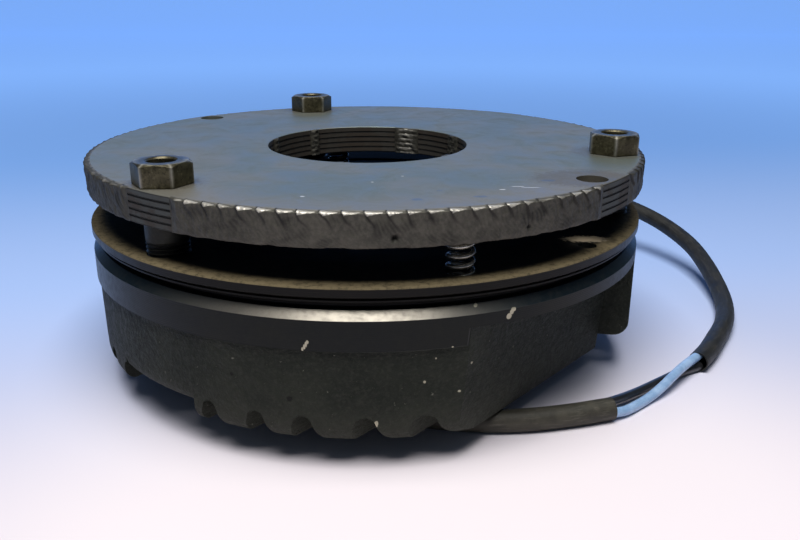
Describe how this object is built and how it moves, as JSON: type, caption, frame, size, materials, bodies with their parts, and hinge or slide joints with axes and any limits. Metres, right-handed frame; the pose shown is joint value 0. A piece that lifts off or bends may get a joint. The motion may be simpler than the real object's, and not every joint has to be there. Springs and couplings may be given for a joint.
{
  "type": "spring-applied electromagnetic brake",
  "caption": "Round finned brake magnet with a welded laminated armature plate that springs push up against the hexagon heads of its hollow sleeve bolts, and a coil lead.",
  "frame": {"origin": "on the pole axis, in the plane of the hub collar's standing face", "axes": "+Z along the pole axis from the hub collar to the hexagon heads; -Y is towards the camera of the picture"},
  "size_m": [0.1973, 0.1913, 0.0643],
  "materials": {
    "cast_housing": "rough dark casting with a machined flange",
    "former_plastic": "moulded, natural colour",
    "copper_wire": "enamelled copper wire wound in layers",
    "cast_resin": "dark casting resin",
    "plate_steel": "ground, stained and scratched",
    "weld_metal": "as welded, dull",
    "bolt_steel": "dull olive zinc",
    "spring_steel": "drawn wire",
    "grommet_rubber": "matt",
    "sleeving": "black flexible sleeving",
    "insulation_blue": "soft sheen",
    "insulation_black": "soft sheen",
    "tinned_copper": "tinned"
  },
  "bodies": {
    "magnet": {"magnet_housing": "cast_housing", "coil_former": "former_plastic", "coil_winding": "copper_wire", "coil_resin": "cast_resin", "sleeve_bolt_1": "bolt_steel", "sleeve_bolt_2": "bolt_steel", "sleeve_bolt_3": "bolt_steel", "outer_spring_1": "spring_steel", "outer_spring_2": "spring_steel", "outer_spring_3": "spring_steel", "inner_spring_1": "spring_steel", "inner_spring_2": "spring_steel", "inner_spring_3": "spring_steel", "lead_grommet": "grommet_rubber", "lead_sleeve_long": "sleeving", "conductor_blue": "insulation_blue", "conductor_black": "insulation_black", "lead_sleeve_short": "sleeving", "end_ferrules": "tinned_copper"},
    "armature": {"lamination_1": "plate_steel", "lamination_2": "plate_steel", "lamination_3": "plate_steel", "lamination_4": "plate_steel", "lamination_5": "plate_steel", "rim_weld": "weld_metal", "bore_weld": "weld_metal"}
  },
  "joints": [
    {"name": "armature_slide", "type": "slide", "parent": "magnet", "child": "armature", "axis": [0, 0, 1], "range_m": [-0.0082, 0], "stiffness_N_per_m": 20000, "springref_m": 0.0008, "deforming": ["outer_spring_1", "outer_spring_2", "outer_spring_3", "inner_spring_1", "inner_spring_2", "inner_spring_3"]}
  ]
}
